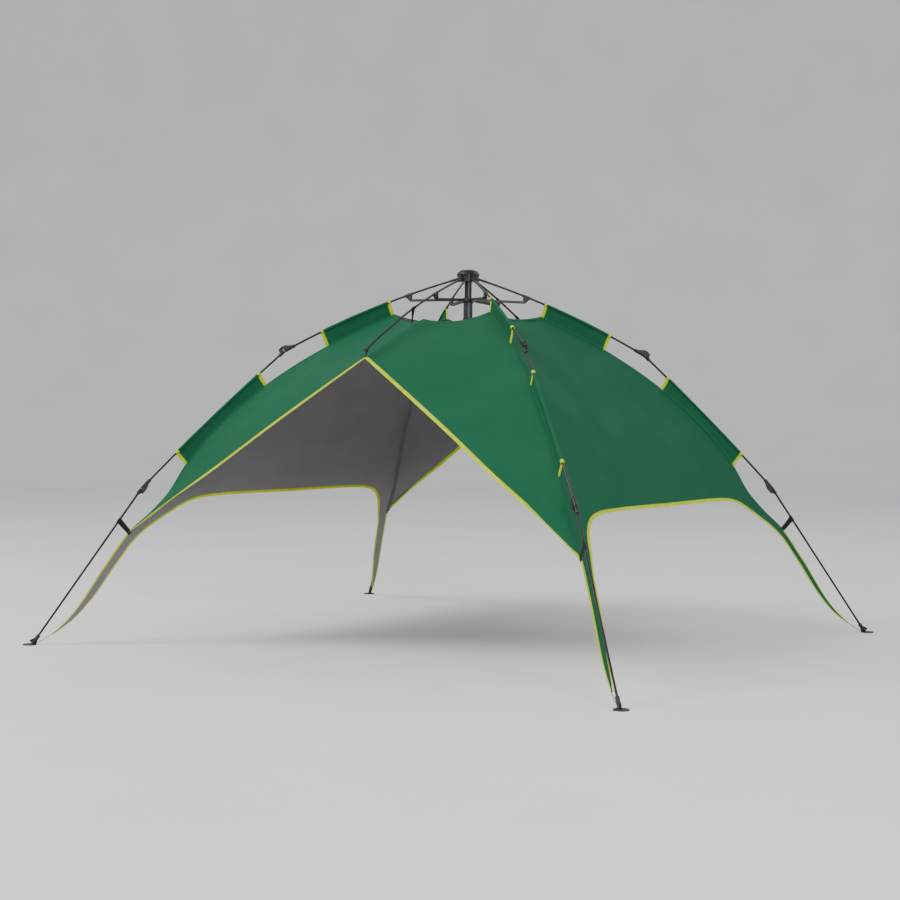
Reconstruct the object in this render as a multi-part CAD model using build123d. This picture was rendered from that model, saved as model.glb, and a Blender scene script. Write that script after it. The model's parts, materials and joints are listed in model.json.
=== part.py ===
from build123d import *
from math import atan2, cos, degrees, hypot, radians, sin
import os

# An automatic, hub-type beach shelter. Four three-section legs and two short
# arms open like an umbrella, and a canopy hangs under them.
# Millimetres. Origin on the ground under the hub, +Z up, front opening to -Y.
# A leg or arm is drawn in its own plane (radius from the centre, height) and
# then turned about Z to its place.

# ---------------------------------------------------------------- dimensions
FOOTPRINT_X = 2700.0          # between the left and right feet
FOOTPRINT_Y = 2400.0          # between the front and back feet
FOOT_RADIUS = hypot(FOOTPRINT_X, FOOTPRINT_Y) / 2
LEG_TURN = degrees(atan2(FOOTPRINT_Y, FOOTPRINT_X))
LEGS = {
    "front_right": -LEG_TURN,
    "back_right": LEG_TURN,
    "back_left": 180 - LEG_TURN,
    "front_left": 180 + LEG_TURN,
}
ARMS = {"front": -90.0, "back": 90.0}

ROD_R = 4.5                   # fibreglass rods
GLUE_GAP = 0.05               # radial gap of a rod in its socket
PIN_R = 1.5
PIN_GAP = 0.08                # radial running clearance of a pin

# hub and centre tube
PIVOT_R = 40.0                # radius of the six arm pivots
PIVOT_Z = 1540.0
HUB_R = 46.0
HUB_BOTTOM = 1527.0
HUB_TOP = 1553.0
CAP_R = 49.0
CAP_TOP = 1578.0
SLOT_HALF = 6.0               # half width of an arm slot
SLOT_INNER = 31.0
SLOT_TOP = 1549.0
TUBE_R = 15.5
TUBE_WALL = 1.2
TUBE_TOP = 1548.0
TUBE_BOTTOM = 1054.0
FLANGE_R = 17.6
FLANGE_H = 6.0
SPRING_WIRE_R = 0.9
SPRING_R = 16.8
SPRING_TURNS = 14

# runner, sleeve and grip, which slide on the tube
RUNNER_Z = 1450.0             # height of the strut pivots
RUNNER_PIVOT_R = 30.0
RUNNER_R = 24.0
RUNNER_TOP = 1457.0
RUNNER_BOTTOM = 1436.0
RUNNER_SEAT = 1443.5          # underside of the runner inside the sleeve
RUNNER_TRAVEL = 353.5         # down, from open to packed
RUNNER_GAP = 0.3
SLEEVE_R = 20.0
SLEEVE_WALL = 2.0
SLEEVE_BOTTOM = 1046.0
GRIP_R = 21.5
GRIP_TOP = 1372.0
GRIP_BOTTOM = 1036.0
BUTTON_SIZE = 9.0
BUTTON_OUT = 28.0             # radius of a button's face
BUTTON_IN = 19.2
BUTTON_Z = 1447.5
LUG_HALF = 6.0
LUG_BOSS_R = 5.5

# struts: a pair of flat bars either side of the runner lug and arm bracket
BAR_INNER = 6.3
BAR_THICK = 2.5
BAR_R = 5.0

# legs, as (radius, height): the rods' chords and how far they bow outwards
HUB_PIVOT = (PIVOT_R, PIVOT_Z)
KNEE_1 = (781.0, 1221.0)
KNEE_2 = (1369.0, 644.0)
FOOT_POINT = (FOOT_RADIUS, 6.0)
UPPER_RISE = 22.0
MIDDLE_RISE = 8.0
ARM_END = (753.0, 1212.0)
ARM_RISE = 24.0
BRACKET_DROP = 25.0           # strut pivot below the arm's rod
KNEE_1_OFFSET = 16.0          # knee pivot outwards of the rods
KNEE_2_OFFSET = 13.0          # knee pivot inwards of the rods
CLEVIS_SOCKET = 48.0          # length of a knee's socket on the rod above it
TONGUE_SOCKET = 26.0          # and on the rod below it
SOCKET_R = 7.0
CLEVIS_HALF = 8.0
TONGUE_HALF = 3.7
KNEE_PIN_R = 2.0

# feet
FOOT_PLATE_R = 28.0
FOOT_PLATE_H = 4.0
FOOT_OFFSET = 14.0            # plate centre outwards of the rod's end
PEG_HOLE_R = 4.0
PEG_OFFSET = 27.0             # peg hole outwards of the rod's end

# canopy, as (radius, height) along the seam under each leg
SEAM = [
    (318.0, 1383.0),
    (605.0, 1241.0),
    (853.0, 1080.0),
    (1189.0, 741.0),
    (1278.0, 604.0),
    (1420.0, 462.0),
    (1510.0, 335.0),
    (1680.0, 90.0),
    (1730.0, 44.0),
]
SEAM_LOW_EDGE = 4             # seam point level with the side walls' low edge
SEAM_STRAP = 5                # seam point where the leg strap is sewn on
PEAK = (756.0, 1181.0)        # peak of a tall opening, on the y axis
RIDGE_TOP = (345.0, 1352.0)   # top of the ridge under a short arm
CLOTH = 1.2                   # thickness of a panel
CLOTH_GAP = 3.0               # panel edges stop this far from the leg's plane
LOW_CORNER_WIDTHS = [290.0, 186.0, 117.0, 75.0]   # wall left beside the seam
LOW_CORNER_DROPS = [0.0, 20.0, 74.0, 142.0]       # below the low edge
STRIP_WIDTHS = [67.0, 40.0, 25.0]                 # leg strip, strap to tip
SLEEVE_UPPER = (0.372, 0.79)  # start and end along the upper rod
SLEEVE_LOWER = (0.164, 0.752)                     # along the middle rod
SLEEVE_PLATE_HALF = 1.2
SLEEVE_INNER = 0.7            # radial gap of a rod in a fabric sleeve
SLEEVE_CLOTH = 1.4
FIN_GAP = 0.2                 # between a fin's plate and its sleeve
STRAP_POINT = (1460.0, 497.0)
STRAP_WIDTH = 25.0
WEBBING_SHARE = 0.505         # place of the webbing along a short arm
WEBBING_FOOT = (431.0, 1322.0)
CORD_R = 1.2
HOOK_EYE = (-6.0, -9.5)       # eye under a short arm's end, in the rod's plane
HOOK_EYE_R = 4.5
LOOP_HALF = 4.0               # half width of the soft loop at a peak

os.makedirs("parts", exist_ok=True)


# ------------------------------------------------------------------- helpers
def save(name, *solids):
    """Write one node: a single solid, or a group of separate solids."""
    shape = solids[0] if len(solids) == 1 else Compound(children=list(solids))
    export_step(shape, f"parts/{name}.step")


def spin(shape, angle):
    return Rot(0, 0, angle) * shape


def all_round(shape, angles):
    return [spin(shape, angle) for angle in angles]


def flat(point):
    """A (radius, height) point of the leg plane as a 3-D point."""
    return Vector(point[0], 0, point[1])


def bowed(start, end, rise):
    """Centre line of a rod: a shallow arc, bowed away from the ground."""
    a, b = flat(start), flat(end)
    if rise == 0:
        return Edge.make_line(a, b)
    along = (b - a).normalized()
    out = Vector(-along.Z, 0, along.X)
    return Edge.make_three_point_arc(a, (a + b) / 2 + out * rise, b)


def along_rod(line, share, outwards=True, backwards=False):
    """A work plane on a rod: x along the rod, y out of (or into) the bow."""
    way = line.tangent_at(share)
    side = -1 if outwards else 1
    if backwards:
        way = way * -1
        side = -side
    return Plane(line.position_at(share), x_dir=way, z_dir=(0, side, 0))


def round_bar(line, radius):
    """A round bar swept along a centre line."""
    start = Plane(line.position_at(0), z_dir=line.tangent_at(0))
    return sweep(start * Circle(radius), path=line)


def tube_on(plane, x0, x1, outer):
    """A straight round boss from x0 to x1 along a work plane's x axis."""
    end = Plane(plane.from_local_coords((x0, 0, 0)), z_dir=plane.x_dir)
    return extrude(end * Circle(outer), amount=x1 - x0)


def plate(plane, outline, half):
    """A flat web of thickness 2 * half around a work plane."""
    return extrude(plane * make_face(Polyline(*outline, close=True)), amount=half, both=True)


def disc(centre, radius, inner, outer):
    """Two equal discs across the leg plane, from inner to outer each side."""
    plane = Plane(centre, x_dir=(1, 0, 0), z_dir=(0, 1, 0))
    whole = extrude(plane * Circle(radius), amount=outer, both=True)
    if inner == 0:
        return whole
    return whole - extrude(plane * Circle(radius + 1), amount=inner, both=True)


def pin(centre, radius, half, head=0.0):
    """A pivot pin across the leg plane, with a flat head at each end."""
    shank = disc(centre, radius, 0, half)
    if head == 0:
        return shank
    return shank + disc(centre, head, half - 1.0, half)


# ---------------------------------------------------------- hub and its tube
def hub_cap():
    with_rim = Polyline((0, HUB_TOP + 0.1), (CAP_R, HUB_TOP + 0.1), (CAP_R, HUB_TOP + 5))
    dome = ThreePointArc((CAP_R, HUB_TOP + 5), (CAP_R - 13, CAP_TOP - 4.5), (24, CAP_TOP - 0.5))
    crown = Polyline((24, CAP_TOP - 0.5), (20, CAP_TOP), (0, CAP_TOP), (0, HUB_TOP + 0.1))
    profile = make_face(with_rim + dome + crown)
    cap = revolve(Plane.XZ * profile, axis=Axis.Z)
    for angle in list(LEGS.values()) + list(ARMS.values()):
        notch = Pos(CAP_R + 4, 0, HUB_TOP + 2) * Rot(0, 30, 0) * Box(14, 15, 9)
        cap -= spin(notch, angle)
    return cap


def hub_body(turns):
    middle = (HUB_TOP + HUB_BOTTOM) / 2
    body = Pos(0, 0, middle) * Cylinder(HUB_R, HUB_TOP - HUB_BOTTOM)
    body -= Pos(0, 0, (TUBE_TOP + 0.1 + 1500) / 2) * Cylinder(TUBE_R + GLUE_GAP, TUBE_TOP + 0.1 - 1500)
    slot_length = 30.0
    slot = Pos(SLOT_INNER + slot_length / 2, 0, SLOT_TOP - 20) * Box(slot_length, 2 * SLOT_HALF, 40)
    hole = disc(flat(HUB_PIVOT), PIN_R + GLUE_GAP, 0, 12.4)
    for angle in turns:
        body -= spin(slot, angle)
        body -= spin(hole, angle)
    return body


def centre_tube():
    height = TUBE_TOP - TUBE_BOTTOM
    tube = Pos(0, 0, TUBE_BOTTOM + height / 2) * Cylinder(TUBE_R, height)
    tube += Pos(0, 0, TUBE_BOTTOM + FLANGE_H / 2) * Cylinder(FLANGE_R, FLANGE_H)
    return tube - Pos(0, 0, TUBE_BOTTOM + height / 2) * Cylinder(TUBE_R - TUBE_WALL, height)


def lift_spring():
    """Rests on the tube's flange and pushes the runner up to open the frame."""
    low = TUBE_BOTTOM + FLANGE_H + 2 * SPRING_WIRE_R
    high = RUNNER_SEAT - 2 * SPRING_WIRE_R
    coil = Helix(pitch=(high - low) / SPRING_TURNS, height=high - low, radius=SPRING_R)
    coil = Pos(0, 0, low) * coil
    start = Plane(coil @ 0, z_dir=coil % 0)
    return sweep(start * Circle(SPRING_WIRE_R), path=coil)


# --------------------------------------------------------- runner and sleeve
def runner_body(turns):
    height = RUNNER_TOP - RUNNER_BOTTOM
    body = Pos(0, 0, RUNNER_BOTTOM + height / 2) * Cylinder(RUNNER_R, height)
    boss = Pos(RUNNER_PIVOT_R, 0, RUNNER_Z) * Rot(90, 0, 0) * Cylinder(LUG_BOSS_R, 2 * LUG_HALF)
    web = Pos((RUNNER_PIVOT_R + 18) / 2, 0, RUNNER_Z) * Box(RUNNER_PIVOT_R - 18, 2 * LUG_HALF, 2 * LUG_BOSS_R)
    hole = disc(flat((RUNNER_PIVOT_R, RUNNER_Z)), PIN_R + GLUE_GAP, 0, LUG_HALF + 1)
    for angle in turns:
        body += spin(boss + web, angle)
    for angle in turns:
        body -= spin(hole, angle)
    body -= Pos(0, 0, RUNNER_BOTTOM + height / 2) * Cylinder(TUBE_R + RUNNER_GAP, height)
    seat = RUNNER_SEAT - RUNNER_BOTTOM
    body -= Pos(0, 0, RUNNER_BOTTOM + seat / 2) * Cylinder(SLEEVE_R + GLUE_GAP, seat)
    window = BUTTON_SIZE + 0.5
    for side in (-1, 1):
        body -= Pos(side * RUNNER_R, 0, BUTTON_Z) * Box(RUNNER_R, window, window)
    return body


def runner_sleeve():
    height = RUNNER_SEAT - 0.3 - SLEEVE_BOTTOM
    middle = SLEEVE_BOTTOM + height / 2
    wall = Cylinder(SLEEVE_R, height) - Cylinder(SLEEVE_R - SLEEVE_WALL, height)
    sleeve = Pos(0, 0, middle) * wall
    relief = BUTTON_SIZE + 1.0
    for side in (-1, 1):
        sleeve -= Pos(side * SLEEVE_R, 0, BUTTON_Z - 1) * Box(SLEEVE_R, relief, relief)
    return sleeve


def hand_grip():
    """A closed, ribbed grip on the lower end of the sleeve."""
    height = GRIP_TOP - GRIP_BOTTOM
    grip = Pos(0, 0, GRIP_BOTTOM + height / 2) * Cylinder(GRIP_R, height)
    grip += Pos(0, 0, GRIP_BOTTOM + 4) * Cylinder(GRIP_R + 3, 8)
    grip = chamfer(grip.edges().sort_by(Axis.Z)[0], 2)
    bore = GRIP_TOP - SLEEVE_BOTTOM + 0.2
    grip -= Pos(0, 0, GRIP_TOP - bore / 2) * Cylinder(SLEEVE_R + GLUE_GAP, bore)
    for k in range(12):
        groove = Cylinder(GRIP_R + 1, 3) - Cylinder(GRIP_R - 0.7, 3)
        grip -= Pos(0, 0, GRIP_BOTTOM + 30 + 9 * k) * groove
    return grip


def release_button():
    length = BUTTON_OUT - BUTTON_IN
    button = Pos(BUTTON_IN + length / 2, 0, BUTTON_Z) * Box(length, BUTTON_SIZE, BUTTON_SIZE)
    return fillet(button.faces().sort_by(Axis.X)[-1].edges(), 1.2)


# -------------------------------------------------------------------- struts
def strut_layout(end, rise):
    """Place of the strut pivot on an arm, and its share of the arm's length.

    The pivot sits `drop` under the arm's chord. Its distance from the hub
    pivot is the one that gives the strut the same length with the frame open
    and with the arm folded straight down and the runner pulled down.
    """
    start = Vector(PIVOT_R, 0, PIVOT_Z)
    chord = flat(end) - start
    length = chord.length
    way = chord.normalized()
    into = Vector(way.Z, 0, -way.X)
    down, inwards = Vector(0, 0, -1), Vector(-1, 0, 0)
    open_pin = Vector(RUNNER_PIVOT_R, 0, RUNNER_Z)
    packed_pin = Vector(RUNNER_PIVOT_R, 0, RUNNER_Z - RUNNER_TRAVEL)
    share = 0.28
    drop = BRACKET_DROP - 4 * rise * share * (1 - share)
    open_leg = start + into * drop - open_pin
    packed_leg = start + inwards * drop - packed_pin
    top = packed_leg.dot(packed_leg) - open_leg.dot(open_leg)
    out = top / (2 * (way.dot(open_leg) - down.dot(packed_leg)))
    pivot = start + way * out + into * drop
    return pivot, out / length


def strut(pivot):
    """Two flat bars with a rivet at the arm bracket, mirror images."""
    inner = Vector(RUNNER_PIVOT_R, 0, RUNNER_Z)
    way = (pivot - inner).normalized()
    plane = Plane(inner, x_dir=way, z_dir=(0, 1, 0))
    length = (pivot - inner).length
    outer_face = BAR_INNER + BAR_THICK
    outline = SlotCenterToCenter(length, 2 * BAR_R)
    bar = extrude(plane * Pos(length / 2, 0) * outline, amount=outer_face, both=True)
    bar -= disc(inner, PIN_R + PIN_GAP, 0, outer_face + 1)
    bar += disc(pivot, 4.0, outer_face - 0.5, outer_face + 1.0)
    wide = Pos((inner.X + pivot.X) / 2, 0, pivot.Z) * Box(2 * length, 2 * BAR_INNER, 100)
    return bar - wide


# ------------------------------------------------------- mouldings on a rod
def hub_eye(line, clearance):
    plane = along_rod(line, 0)
    eye = tube_on(plane, 4, 40, 5.4) + disc(flat(HUB_PIVOT), 6.0, 0, 5.4)
    eye -= clearance
    return eye - disc(flat(HUB_PIVOT), PIN_R + PIN_GAP, 0, 10)


def strut_bracket(line, pivot, share, clearance):
    """A short sleeve on the arm with a hanging lug for the strut."""
    plane = along_rod(line, share)
    sleeve = tube_on(plane, -18, 18, 6.0)
    foot = plane.to_local_coords(pivot)
    lug = plate(plane, [(-15, -3), (17, -3), (foot.X + 6, foot.Y), (foot.X - 6, foot.Y)], LUG_HALF - 1)
    lug += disc(pivot, 6.0, 0, LUG_HALF)
    return sleeve + lug - clearance


def knee_half(plane, pivot, clevis, clearance):
    """One half of a knee: a socket for the rod and a web out to the pivot."""
    far = CLEVIS_SOCKET if clevis else TONGUE_SOCKET
    centre = plane.to_local_coords(pivot)
    boss_r = 0.42 * centre.Y
    outline = [
        (1.2, 2), (far - 6, 2), (far - 6, SOCKET_R - 1), (14, centre.Y + boss_r * 0.8),
        (centre.X + 1, centre.Y + boss_r), (1.2, centre.Y),
    ]
    half = CLEVIS_HALF if clevis else TONGUE_HALF
    web = plate(plane, outline, half) + disc(pivot, boss_r, 0, half)
    if clevis:
        floor = SOCKET_R + 0.4
        web -= plate(plane, [(-20, floor), (30, floor), (30, 60), (-20, 60)], TONGUE_HALF + 0.3)
        web -= disc(pivot, KNEE_PIN_R + GLUE_GAP, 0, 20)
    else:
        web -= disc(pivot, KNEE_PIN_R + PIN_GAP, 0, 20)
    collar = tube_on(plane, far - 8, far + 2, SOCKET_R + 0.8)
    return tube_on(plane, 1.0, far, SOCKET_R) + collar + web - clearance


def knee_pin(pivot):
    return pin(pivot, KNEE_PIN_R, CLEVIS_HALF + 1.05, head=3.6)


def knee_pivot(line_in, line_out, offset):
    """The knee's pivot, `offset` along the normal between the two rods."""
    mean = (line_in.tangent_at(1) + line_out.tangent_at(0)).normalized()
    out = Vector(-mean.Z, 0, mean.X)
    return line_in.position_at(1) + out * offset


def foot():
    """A round plate flat on the ground with a socket for the lower rod."""
    centre = (FOOT_RADIUS + FOOT_OFFSET, 0)
    base = Pos(*centre, FOOT_PLATE_H / 2) * Cylinder(FOOT_PLATE_R, FOOT_PLATE_H)
    base = chamfer(base.edges().group_by(Axis.Z)[-1], 1.2)
    line = bowed(KNEE_2, FOOT_POINT, 0)
    plane = along_rod(line, 1, backwards=True)
    boss = tube_on(plane, -4, 40, SOCKET_R + 1)
    boss += plate(plane, [(0, -14), (4, -14), (26, -6), (26, 6), (6, 18), (0, 18)], 2.5)
    below = Pos(FOOT_RADIUS, 0, -50) * Box(200, 200, 100)
    boss -= below
    peg = Pos(FOOT_RADIUS + PEG_OFFSET, 0, 0) * Cylinder(PEG_HOLE_R, 3 * FOOT_PLATE_H)
    return base + boss - peg


# -------------------------------------------------------------------- canopy
def sheet(rows, lift):
    """A thin closed solid: a net of points, and the same net moved by lift."""
    faces = []

    def triangle(a, b, c):
        faces.append(Face(Wire.make_polygon([a, b, c], close=True)))

    def wall(a, b):
        faces.append(Face(Wire.make_polygon([a, b, b + lift, a + lift], close=True)))

    last_row = len(rows) - 1
    last = len(rows[0]) - 1
    for i in range(last_row):
        for j in range(last):
            a, b = rows[i][j], rows[i][j + 1]
            c, d = rows[i + 1][j + 1], rows[i + 1][j]
            triangle(a, b, c)
            triangle(a, c, d)
            triangle(a + lift, b + lift, c + lift)
            triangle(a + lift, c + lift, d + lift)
        wall(rows[i][0], rows[i + 1][0])
        wall(rows[i][last], rows[i + 1][last])
    for j in range(last):
        wall(rows[0][j], rows[0][j + 1])
        wall(rows[last_row][j], rows[last_row][j + 1])
    return Solid(Shell(faces))


def seam_point(k, toward):
    """A seam point of the back right leg, beside its plane towards +X or +Y."""
    r, z = SEAM[k]
    turn = radians(LEG_TURN)
    side = CLOTH_GAP if toward == "side" else -CLOTH_GAP
    return Vector(r * cos(turn) + side * sin(turn), r * sin(turn) - side * cos(turn), z)


def back_half():
    """Half of a tall wall: from the ridge and the opening's edge to the seam."""
    peak = Vector(0, PEAK[0], PEAK[1])
    top = Vector(0, RIDGE_TOP[0], RIDGE_TOP[1])
    strap = seam_point(SEAM_STRAP, "back")
    edge = [top, (top + peak) / 2, peak]
    shares = [0.45, 0.75, 0.96]
    edge += [peak + (strap - peak) * share for share in shares]
    seam = [seam_point(k, "back") for k in range(SEAM_STRAP)]
    before = seam[-1]
    seam.append(before + (strap - before) * 0.93)
    columns = 5
    rows = []
    for a, b in zip(edge, seam):
        rows.append([a + (b - a) * (j / columns) for j in range(columns + 1)])
    return rows


def mirrored(rows, x=1, y=1):
    return [[Vector(p.X * x, p.Y * y, p.Z) for p in row] for row in rows]


def tall_wall(side):
    """Front (side = -1) or back (side = 1) wall with its tall opening."""
    half = back_half()
    rows = []
    for right in half:
        left = [Vector(-p.X, p.Y, p.Z) for p in reversed(right[1:])]
        rows.append(left + right)
    lift = Vector(0, side * CLOTH * 0.5, CLOTH * 0.8)
    upper = 3
    top = sheet(mirrored(rows[:upper], y=side), lift)
    parts = [top]
    for x in (-1, 1):
        parts.append(sheet(mirrored(half[upper - 1:], x=x, y=side), lift))
    return parts[0] + parts[1] + parts[2]


def low_wall(side):
    """Left (side = -1) or right wall: level low edge, a strip down each leg."""
    rows = []
    for k in range(SEAM_LOW_EDGE + 1):
        p = seam_point(k, "side")
        columns = 8
        rows.append([Vector(p.X, p.Y * (1 - 2 * j / columns), p.Z) for j in range(columns + 1)])
    lift = Vector(side * CLOTH * 0.7, 0, CLOTH * 0.7)
    wall = sheet(mirrored(rows, x=side), lift)
    low = seam_point(SEAM_LOW_EDGE, "side")
    strap = seam_point(SEAM_STRAP, "side")
    seam = [low + (strap - low) * (drop / LOW_CORNER_DROPS[-1]) for drop in LOW_CORNER_DROPS]
    seam += [seam_point(k, "side") for k in range(SEAM_STRAP + 1, len(SEAM))]
    widths = LOW_CORNER_WIDTHS + STRIP_WIDTHS
    strip = [[p, Vector(p.X, p.Y - width, p.Z)] for p, width in zip(seam, widths)]
    for y in (-1, 1):
        wall += sheet(mirrored(strip, x=side, y=y), lift)
    return wall


def pole_sleeve(line, first, last, seam):
    """A cloth sleeve around the rod, and the fin between it and the seam."""
    inner = ROD_R + SLEEVE_INNER
    outer = inner + SLEEVE_CLOTH
    piece = line.trim(first, last)
    start = Plane(piece.position_at(0), z_dir=piece.tangent_at(0))
    tube = sweep(start * (Circle(outer) - Circle(inner)), path=piece)
    count = 8
    top = []
    for k in range(count + 1):
        across = along_rod(line, first + (last - first) * k / count)
        top.append(across.from_local_coords((0, -outer - FIN_GAP, 0)))
    outline = [(p.X, p.Z) for p in top] + [(r, z + 3) for r, z in reversed(seam)]
    plane = Plane((0, 0, 0), x_dir=(1, 0, 0), z_dir=(0, -1, 0))
    return [tube, plate(plane, outline, SLEEVE_PLATE_HALF)]


def strap(line, share, foot_point):
    """A band of webbing around a rod, down (or in) to the canopy."""
    plane = along_rod(line, share)
    half = STRAP_WIDTH / 2
    loop = tube_on(plane, -half, half, ROD_R + 1.9)
    end = plane.to_local_coords(flat(foot_point))
    band = plate(plane, [(-half, 0), (half, 0), (end.X + half, end.Y), (end.X - half, end.Y)], 0.9)
    return loop + band - round_bar(line, ROD_R + SLEEVE_INNER)


# ----------------------------------------------------------------- assembly
upper = bowed(HUB_PIVOT, KNEE_1, UPPER_RISE)
middle = bowed(KNEE_1, KNEE_2, MIDDLE_RISE)
lower = bowed(KNEE_2, FOOT_POINT, 0)
short_arm = bowed(HUB_PIVOT, ARM_END, ARM_RISE)
knee_1_pin = knee_pivot(upper, middle, KNEE_1_OFFSET)
knee_2_pin = knee_pivot(middle, lower, -KNEE_2_OFFSET)
leg_strut_pin, leg_strut_share = strut_layout(KNEE_1, UPPER_RISE)
arm_strut_pin, arm_strut_share = strut_layout(ARM_END, ARM_RISE)


def inset(line, start_gap, end_gap):
    return line.trim(start_gap / line.length, 1 - end_gap / line.length)


def leg_parts():
    """Every node of one leg, drawn in the leg plane."""
    hole_1 = round_bar(inset(upper, 14, 4), ROD_R + GLUE_GAP)
    hole_2 = round_bar(inset(middle, 4, 4), ROD_R + GLUE_GAP)
    hole_3 = round_bar(inset(lower, 4, 8), ROD_R + GLUE_GAP)
    knee_1_top = along_rod(upper, 1, backwards=True)
    knee_1_low = along_rod(middle, 0)
    knee_2_top = along_rod(middle, 1, outwards=False, backwards=True)
    knee_2_low = along_rod(lower, 0, outwards=False)
    return {
        "upper_rod": [round_bar(inset(upper, 14, 4), ROD_R)],
        "upper_fittings": [
            hub_eye(upper, hole_1),
            strut_bracket(upper, leg_strut_pin, leg_strut_share, hole_1),
            knee_half(knee_1_top, knee_1_pin, True, hole_1),
            knee_pin(knee_1_pin),
        ],
        "middle_rod": [round_bar(inset(middle, 4, 4), ROD_R)],
        "middle_fittings": [
            knee_half(knee_1_low, knee_1_pin, False, hole_2),
            knee_half(knee_2_top, knee_2_pin, True, hole_2),
            knee_pin(knee_2_pin),
        ],
        "lower_rod": [round_bar(inset(lower, 4, 8), ROD_R)],
        "lower_knee": [knee_half(knee_2_low, knee_2_pin, False, hole_3)],
        "foot": [foot() - hole_3],
    }


def arm_parts():
    """Every node of one short arm, drawn in the arm's plane."""
    hole = round_bar(inset(short_arm, 14, 8), ROD_R + GLUE_GAP)
    tip = along_rod(short_arm, 1)
    eye_x, eye_y = HOOK_EYE
    eye = tip.from_local_coords((eye_x, eye_y, 0))
    hook = tube_on(tip, -34, 2, SOCKET_R)
    hook += plate(tip, [(-22, -4), (-1, -4), (eye_x + HOOK_EYE_R, eye_y), (eye_x - HOOK_EYE_R, eye_y)], 2.5)
    hook += disc(eye, HOOK_EYE_R, 0, 2.5)
    hook -= disc(eye, 2.2, 0, 4)
    return {
        "arm_rod": [round_bar(inset(short_arm, 14, 8), ROD_R)],
        "arm_fittings": [
            hub_eye(short_arm, hole),
            strut_bracket(short_arm, arm_strut_pin, arm_strut_share, hole),
        ],
        "arm_hook": [hook - hole],
    }


def peak_loop():
    """A flat loop of webbing from the hook's eye to the peak of an opening."""
    tip = along_rod(short_arm, 1)
    eye = Vector(*HOOK_EYE, 0)
    peak = tip.to_local_coords(flat(PEAK) + Vector(0, 0, 4))
    way = (peak - eye).normalized()
    across = Vector(-way.Y, way.X, 0) * LOOP_HALF
    start = eye + way * (HOOK_EYE_R + 0.3)
    end = peak - way * LOOP_HALF
    corners = [start - across, start + across, end + across, end - across]
    return plate(tip, [(p.X, p.Y) for p in corners], 0.9)


def save_members(places, parts, strut_pin):
    """Write the nodes of every leg or arm, each turned to its place."""
    bars = strut(strut_pin).solids()
    for name, angle in places.items():
        for node, solids in parts.items():
            save(f"{node}_{name}", *[spin(solid, angle) for solid in solids])
        save(f"strut_{name}", *[spin(bar, angle) for bar in bars])


def main():
    legs = list(LEGS.values())
    arms = list(ARMS.values())
    turns = legs + arms
    save("hub_cap", hub_cap())
    save("hub_body", hub_body(turns))
    save("hub_pivot_pins", *all_round(disc(flat(HUB_PIVOT), PIN_R, 0, 12.0), turns))
    save("centre_tube", centre_tube())
    save("lift_spring", lift_spring())
    save("runner_body", runner_body(turns))
    save("runner_sleeve", runner_sleeve())
    save("hand_grip", hand_grip())
    runner_pin = pin(flat((RUNNER_PIVOT_R, RUNNER_Z)), PIN_R, BAR_INNER + BAR_THICK + 1.2, head=3.4)
    save("runner_pivot_pins", *all_round(runner_pin, turns))
    save("release_button_right", release_button())
    save("release_button_left", spin(release_button(), 180))
    save_members(LEGS, leg_parts(), leg_strut_pin)
    save_members(ARMS, arm_parts(), arm_strut_pin)

    save("canopy_front", tall_wall(-1))
    save("canopy_back", tall_wall(1))
    save("canopy_left", low_wall(-1))
    save("canopy_right", low_wall(1))
    for name, line, shares, seam in (
        ("pole_sleeves_upper", upper, SLEEVE_UPPER, SEAM[0:2]),
        ("pole_sleeves_lower", middle, SLEEVE_LOWER, SEAM[2:4]),
    ):
        tube, fin = pole_sleeve(line, *shares, seam)
        save(name, *all_round(tube, legs), *all_round(fin, legs))
    strap_share = hypot(STRAP_POINT[0] - KNEE_2[0], STRAP_POINT[1] - KNEE_2[1]) / lower.length
    sewn_on = (SEAM[SEAM_STRAP][0] + 3, SEAM[SEAM_STRAP][1] + 3)
    save("leg_straps", *all_round(strap(lower, strap_share, sewn_on), legs))
    bands = [strap(short_arm, WEBBING_SHARE, WEBBING_FOOT), peak_loop()]
    save("arm_webbing", *all_round(bands[0], arms), *all_round(bands[1], arms))
    tip = flat(SEAM[-1]) + Vector(2, 0, 2)
    cord = round_bar(Edge.make_line(tip, flat((FOOT_RADIUS - 18, 6))), CORD_R)
    save("foot_cords", *all_round(cord, legs))


main()
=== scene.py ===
import json
import math

import bmesh
import bpy
import numpy as np
from mathutils import Matrix, Vector, noise


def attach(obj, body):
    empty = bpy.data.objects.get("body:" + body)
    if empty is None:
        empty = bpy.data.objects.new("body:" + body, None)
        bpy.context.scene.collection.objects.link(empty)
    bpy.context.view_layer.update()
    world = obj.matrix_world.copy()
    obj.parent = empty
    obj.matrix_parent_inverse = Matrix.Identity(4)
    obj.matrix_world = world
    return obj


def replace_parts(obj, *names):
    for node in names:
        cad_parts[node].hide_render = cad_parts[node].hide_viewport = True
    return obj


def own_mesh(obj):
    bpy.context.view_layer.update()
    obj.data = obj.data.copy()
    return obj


# The looks of an automatic, hub-type beach shelter: a green canopy with a grey
# inside, lime binding, webbing straps and finishes for the folding frame.
# Metres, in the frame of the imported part: +Z up, front opening towards -Y.

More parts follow.
